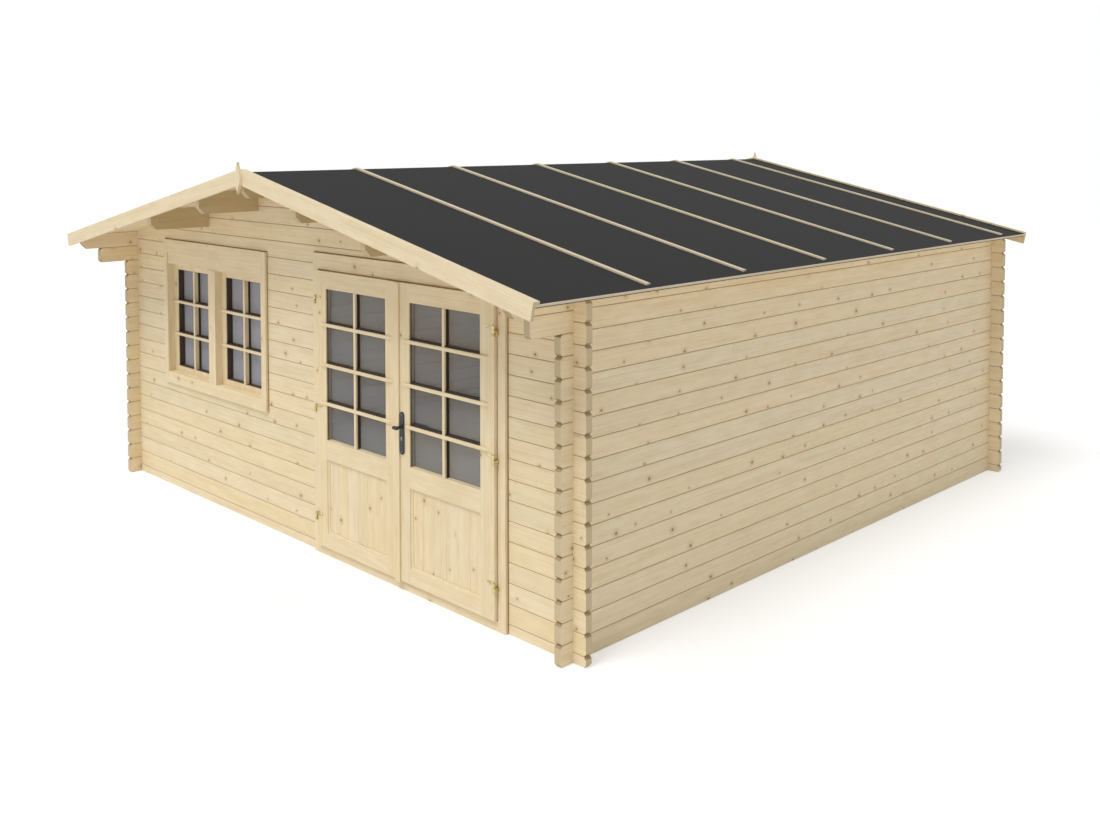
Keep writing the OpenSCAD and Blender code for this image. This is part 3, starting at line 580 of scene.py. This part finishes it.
def dressLight(body, bars):
    low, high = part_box(body + "_glass")
    face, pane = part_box(body + "_stiles")[0].y, low.y - glazing["clear"]
    deep, lining, gasket = (face + doorBars[step] for step in ("deep", "lining", "gasket"))
    half, wide, web = (doorBars[part] / 2 for part in ("tall", "wide", "web"))
    middle, bead = (low.x + high.x) / 2, doorBars["bead"]
    level, upright, shadeWeb, sides, seals = (bmesh.new() for piece in range(5))
    for height, (x0, x1) in zip(doorBars["heights"], bars):
        addBar(level, x0, x1, face - doorBars["thick"], face, height - half, height + half,
               doorBars["slant"], doorBars["roundOff"])
        # the dark webs behind the bars, rising above each level bar, are painted shade
        addBlock(shadeWeb, (low.x + bead, face + glazing["webBack"], height - web),
                 (high.x - bead, pane, height + web + doorBars["webRise"]), glazing["webEdge"])
    addBlock(upright, (middle - wide, face - glazing["proud"], low.z), (middle + wide, deep, high.z),
             doorBars["roundOff"])
    addBlock(shadeWeb, (middle - web, deep + glazing["clear"], low.z), (middle + web, pane, high.z),
             glazing["webEdge"])
    for x in (low.x, high.x - bead):
        # the brown lining strips are painted shade of the rebates beside the panes
        addBlock(sides, (x, lining, low.z), (x + bead, gasket, high.z), glazing["softEdge"])
        # the pale gasket strips are painted light against the shade at the pane edges
        addBlock(seals, (x, gasket + glazing["hair"], low.z), (x + bead, pane, high.z), glazing["softEdge"])
    finishPiece(body + "Bars", level, "bars", body)
    finishPiece(body + "UprightBar", upright, "uprightBars", body)
    finishPiece(body + "ShadeWebs", shadeWeb, "shadeWeb", body)
    finishPiece(body + "LiningShade", sides, "lining", body)
    finishPiece(body + "Gaskets", seals, "gasket", body)


def dressPanel(body):
    low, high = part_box(body + "_panel")
    bm = bmesh.new()
    addBoards(bm, low, high, leafPanel)
    finishPiece(body + "Boards", bm, "panel", body, [body + "_panel"])
    bm = bmesh.new()
    addMoulding(bm, low.x, high.x, low.z, high.z, leafPanel["bead"], low.y - glazing["hair"],
                low.y - leafPanel["beadRise"], low.y - leafPanel["beadLip"])
    finishPiece(body + "Bead", bm, "uprightBars", body)


meeting = {"wide": 0.049, "thick": 0.012, "clear": 0.0005, "below": 0.012, "roundOff": 0.003}


def coverMeeting():
    left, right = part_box("left_leaf_stiles"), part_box("right_leaf_stiles")
    middle = (left[1].x + right[0].x) / 2
    bm = bmesh.new()
    addBlock(bm, (middle - meeting["wide"] / 2, right[0].y - meeting["thick"], right[0].z - meeting["below"]),
             (middle + meeting["wide"] / 2, right[0].y - meeting["clear"], right[1].z), meeting["roundOff"])
    finishPiece("meetingStrip", bm, "uprightBars", "right_leaf")


for body, bars in leaves.items():
    dressLight(body, bars)
    dressPanel(body)
coverMeeting()
print("door lights and panels made")


windowBars = {"rows": 3, "tall": 0.02, "thick": 0.012, "wide": 0.022, "slant": 0.01, "roundOff": 0.0025,
              "web": 0.018, "webRise": 0.007, "bead": 0.003, "clear": 0.002, "mullion": 0.096, "deep": 0.028,
              "lip": 0.013, "lipDeep": 0.007, "lining": 0.004, "foot": 0.012, "footThick": 0.003}


def dressWindow():
    sash, (low, high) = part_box("window_sashes"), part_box("window_glass")
    face, pane = sash[0].y, low.y - glazing["clear"]
    deep, lining, lipBack = (face + windowBars[step] for step in ("deep", "lining", "lipDeep"))
    half, wide, web, mullion = (windowBars[part] / 2 for part in ("tall", "wide", "web", "mullion"))
    clear, lip, foot, bead = (windowBars[part] for part in ("clear", "lip", "foot", "bead"))
    inset, middle = low.x - sash[0].x, (sash[0].x + sash[1].x) / 2
    level, upright, shadeWeb, revealShade = (bmesh.new() for piece in range(4))
    for x0, x1 in ((sash[0].x, middle - mullion), (middle + mullion, sash[1].x)):
        left, x, right = x0 + inset, (x0 + x1) / 2, x1 - inset
        for row in range(1, windowBars["rows"]):
            height = low.z + (high.z - low.z) * row / windowBars["rows"]
            addBar(level, x0 + clear, x1 - clear, face - windowBars["thick"], face,
                   height - half, height + half, windowBars["slant"], windowBars["roundOff"])
            # the dark webs behind the bars are painted shade
            addBlock(shadeWeb, (left + lip, face + glazing["webBack"], height - web),
                     (right - lip, pane, height + web + windowBars["webRise"]), glazing["webEdge"])
        addBlock(upright, (x - wide, face - glazing["proud"], low.z), (x + wide, deep, high.z),
                 windowBars["roundOff"])
        addBlock(shadeWeb, (x - web, deep + glazing["clear"], low.z), (x + web, pane, high.z),
                 glazing["webEdge"])
        for edge in (left, right - lip):
            addBlock(upright, (edge, face + glazing["clear"], low.z), (edge + lip, lipBack, high.z),
                     glazing["webEdge"])
            # the dark brown strips beside the panes are painted shade
            addBlock(revealShade, (edge, lipBack + glazing["hair"], low.z), (edge + lip, pane, high.z),
                     glazing["softEdge"])
        # the dark strips at the pane edges are painted shade
        for edge in (left + lip, right - lip - foot):
            addBlock(shadeWeb, (edge + glazing["hair"], pane - windowBars["footThick"], low.z),
                     (edge + foot - glazing["hair"], pane, high.z), glazing["softEdge"])
        # the dark strips above and below the panes are painted shade too
        for z in (low.z, high.z - bead):
            addBlock(revealShade, (left + lip + glazing["clear"], lining, z),
                     (right - lip - glazing["clear"], pane, z + bead), glazing["softEdge"])
    finishPiece("windowBars", level, "bars", "shed")
    finishPiece("windowUprightBars", upright, "uprightBars", "shed")
    finishPiece("windowShadeWebs", shadeWeb, "shadeWeb", "shed")
    finishPiece("windowRevealShades", revealShade, "revealShade", "shed")


shadeStrip = {"wide": 0.006, "thick": 0.003, "clear": 0.0004, "doorFoot": 0.004, "roundOff": 0.0008}


# painted shade: a thin brown strip in the joint between the casings and the logs, standing in for the shadow
# gap there
def paintCasingShade():
    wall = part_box("front_right_logs")[0].y
    out, front = shadeStrip["wide"], wall - shadeStrip["thick"]
    bm = bmesh.new()
    for posts, foot in ((("window_posts",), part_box("window_sill")[0].z),
                        (("door_left_post", "door_right_post"), shadeStrip["doorFoot"])):
        boxes = [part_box(post) for post in posts]
        x0 = min(low.x for low, high in boxes) - shadeStrip["clear"]
        x1 = max(high.x for low, high in boxes) + shadeStrip["clear"]
        top = max(high.z for low, high in boxes) + shadeStrip["clear"]
        addBlock(bm, (x0 - out, front, top), (x1 + out, wall, top + out), shadeStrip["roundOff"])
        for left in (x0 - out, x1):
            addBlock(bm, (left, front, foot), (left + out, wall, top - shadeStrip["clear"]), shadeStrip["roundOff"])
    finishPiece("casingShadeStrips", bm, "shadeStrip", "shed")


dressWindow()
paintCasingShade()
print("window bars and casing seals made")


def layRoofBoards(side):
    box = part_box(side + "_roof_boards")
    lean = math.radians(roofBoards["pitch"])
    turn = 1 if side == "right" else -1
    far = box[1].x if side == "right" else -box[0].x
    thick = roofBoards["thick"]
    start = roofBoards["ridgeGap"] / 2 / math.cos(lean)
    length = (far - thick * math.sin(lean)) / math.cos(lean)
    peak = box[1].z - thick / math.cos(lean) + start * math.sin(lean)
    count = round((box[1].y - box[0].y) / roofBoards["wide"])
    wide = (box[1].y - box[0].y) / count
    bm = bmesh.new()
    for number in range(count):
        y = box[0].y + number * wide
        made = addBlock(bm, (start, y, 0), (length, y + wide - roofBoards["split"], thick))
        for vert in made:
            if vert.co.x < length / 2 and vert.co.z > thick / 2:
                vert.co.x -= thick * math.tan(lean)
        under = [edge for edge in edgesOf(made) if abs(edge.verts[0].co.x - edge.verts[1].co.x) > 1]
        roundEdges(bm, under, roofBoards["roundOff"], 1)
    bmesh.ops.rotate(bm, verts=bm.verts, cent=(0, 0, 0), matrix=Matrix.Rotation(lean, 3, "Y"))
    bmesh.ops.translate(bm, vec=(0, 0, peak), verts=bm.verts)
    bmesh.ops.scale(bm, vec=(turn, 1, 1), verts=bm.verts)
    finishPiece(side + "RoofBoarding", bm, "roofBoards", "shed", [side + "_roof_boards"])


# a block whose x runs down the right slope from the ridge, and its mirror image on the left
def addSlopePair(bm, low, high, ridge, roundOff=0.0):
    addBlock(bm, low, high, roundOff)
    lean = math.radians(roofBoards["pitch"])
    bmesh.ops.rotate(bm, verts=bm.verts, cent=(0, 0, 0), matrix=Matrix.Rotation(lean, 3, "Y"))
    bmesh.ops.translate(bm, vec=(0, 0, ridge), verts=bm.verts)
    copied = bmesh.ops.duplicate(bm, geom=bm.verts[:] + bm.edges[:] + bm.faces[:])["geom"]
    copied = [item for item in copied if isinstance(item, bmesh.types.BMVert)]
    bmesh.ops.scale(bm, vec=(-1, 1, 1), verts=copied)


upstand = {"rise": 0.004, "thick": 0.002, "inset": 0.004, "lift": 0.0002, "clear": 0.0004}


def turnUpFelt():
    felt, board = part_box("roof_felt"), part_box("rear_bargeboards")
    back = board[0].y - upstand["clear"]
    length = (felt[1].x - upstand["inset"]) / math.cos(math.radians(roofBoards["pitch"]))
    bm = bmesh.new()
    addSlopePair(bm, (upstand["inset"], back - upstand["thick"], upstand["lift"]),
                 (length, back, upstand["rise"]), felt[1].z)
    finishPiece("rearFeltUpstand", bm, "felt", "shed")


rearCap = {"tall": 0.007, "lift": 0.0002, "short": 0.002, "roundOff": 0.0015}


def capRearBoards():
    low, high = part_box("rear_bargeboards")
    length = (high.x - rearCap["short"]) / math.cos(math.radians(roofBoards["pitch"]))
    bm = bmesh.new()
    addSlopePair(bm, (0, low.y, rearCap["lift"]), (length, high.y, rearCap["tall"]), high.z,
                 rearCap["roundOff"])
    finishPiece("rearCapStrip", bm, "slopeTrim", "shed")


floorBoards = {"boards": 39, "split": 0.0008, "roundOff": 0.0015}


def layFloorBoards():
    low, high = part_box("floor_deck")
    bm = bmesh.new()
    addBoards(bm, low, high, floorBoards)
    finishPiece("floorBoarding", bm, "floorBoards", "shed", ["floor_deck"])


for side in ("left", "right"):
    layRoofBoards(side)
turnUpFelt()
capRearBoards()
layFloorBoards()
print("roof and floor boards laid")


hinge = {"inset": 0.187, "barrel": 0.007, "half": 0.028, "play": 0.0002, "gap": 0.0035, "arm": 0.058,
         "armTall": 0.017, "armThick": 0.003, "lug": 0.012, "screws": (0.022, 0.045), "screw": 0.0034,
         "headRise": 0.001, "headSunk": 0.0004, "headRound": 0.0004, "roundOff": 0.0011}


def hangLeaf(body, turn, frameHalves):
    axisX, axisY = jointPlace(body)[:2]
    low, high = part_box(body + "_stiles")
    armFace = low.y - hinge["armThick"]
    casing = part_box("door_head")[0].y
    halves, heads = bmesh.new(), bmesh.new()

    def across(bm, x0, x1, y0, y1, z0, z1):
        ends = sorted((axisX + turn * x0, axisX + turn * x1))
        addBlock(bm, (ends[0], y0, z0), (ends[1], y1, z1), hinge["roundOff"])

    for z in (low.z + hinge["inset"], (low.z + high.z) / 2, high.z - hinge["inset"]):
        top = z + hinge["play"] + hinge["half"]
        foot = top - hinge["armTall"]
        addRod(halves, axisX, axisY, z + hinge["play"], top, hinge["barrel"], hinge["roundOff"])
        across(halves, hinge["gap"], hinge["gap"] + hinge["armThick"], axisY, low.y, foot, top)
        across(halves, hinge["gap"], hinge["gap"] + hinge["arm"], armFace, low.y, foot, top)
        for reach in hinge["screws"]:
            addRoundPlate(heads, axisX + turn * reach, (foot + top) / 2, 0, 0, hinge["screw"],
                          armFace - hinge["headRise"], armFace + hinge["headSunk"], hinge["headRound"], 12)
        addRod(frameHalves, axisX, axisY, z - hinge["half"], z, hinge["barrel"], hinge["roundOff"])
        across(frameHalves, -hinge["lug"], -hinge["gap"], axisY, casing, z - hinge["half"], z)
    finishPiece(body + "HingeArms", halves, "brass", body, [body.replace("leaf", "hinge_halves")])
    finishPiece(body + "HingeScrews", heads, "brass", body)


frameHalves = bmesh.new()
hangLeaf("left_leaf", 1, frameHalves)
hangLeaf("right_leaf", -1, frameHalves)
finishPiece("frameHingeBarrels", frameHalves, "brass", "shed", ["frame_hinge_halves"])
print("hinges made")


handle = {"plate": 0.021, "plateRound": 0.003, "grip": 0.01, "gripRound": 0.0045, "knob": 0.048,
          "lever": 0.125, "spindle": 0.008, "collar": 0.0145, "collarTall": 0.007, "collarRound": 0.002,
          "keyDrop": 0.072, "key": 0.0062, "keyReach": 0.006, "screws": (0.071, -0.15), "screw": 0.0036,
          "proud": 0.0012, "hair": 0.0006, "softEdge": 0.0005}


def makeHandle():
    x, z = jointPlace("handle")[0], jointPlace("handle")[2]
    low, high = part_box("handle_plates")
    stile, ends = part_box("right_leaf_stiles"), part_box("door_handle")
    plate, grip, gripRound = handle["plate"], handle["grip"], handle["gripRound"]
    proud, hair, softEdge = handle["proud"], handle["hair"], handle["softEdge"]
    bm = bmesh.new()
    for y0, y1 in ((low.y, stile[0].y), (stile[1].y, high.y)):
        addRoundPlate(bm, x, (low.z + high.z) / 2, 0, (high.z - low.z) / 2 - plate, plate, y0, y1,
                      handle["plateRound"], 28)
    finishPiece("handlePlates", bm, "black", "right_leaf", ["handle_plates"])

    bm = bmesh.new()
    for y0, y1 in ((low.y - proud, low.y + hair), (high.y - hair, high.y + proud)):
        addRoundPlate(bm, x, z - handle["keyDrop"], 0, handle["keyReach"], handle["key"], y0, y1, softEdge)
        for rise in handle["screws"]:
            addRoundPlate(bm, x, z + rise, 0, 0, handle["screw"], y0, y1, softEdge, 12)
    finishPiece("handleScrews", bm, "steel", "right_leaf")

    bm = bmesh.new()
    reach = (handle["lever"] - grip) / 2
    addRoundPlate(bm, x, z, handle["knob"] / 2 - grip, 0, grip, ends[0].y, ends[0].y + 2 * grip, gripRound)
    addRoundPlate(bm, x + reach, z, reach, 0, grip, ends[1].y - 2 * grip, ends[1].y, gripRound)
    addRoundPlate(bm, x, z, 0, 0, handle["spindle"], ends[0].y + grip, ends[1].y - grip, softEdge)
    tall = handle["collarTall"]
    for y0, y1 in ((low.y - tall, low.y - hair), (high.y + hair, high.y + tall)):
        addRoundPlate(bm, x, z, 0, 0, handle["collar"], y0, y1, handle["collarRound"])
    finishPiece("handleGrips", bm, "black", "handle", ["door_handle"])


makeHandle()
print("handle made")
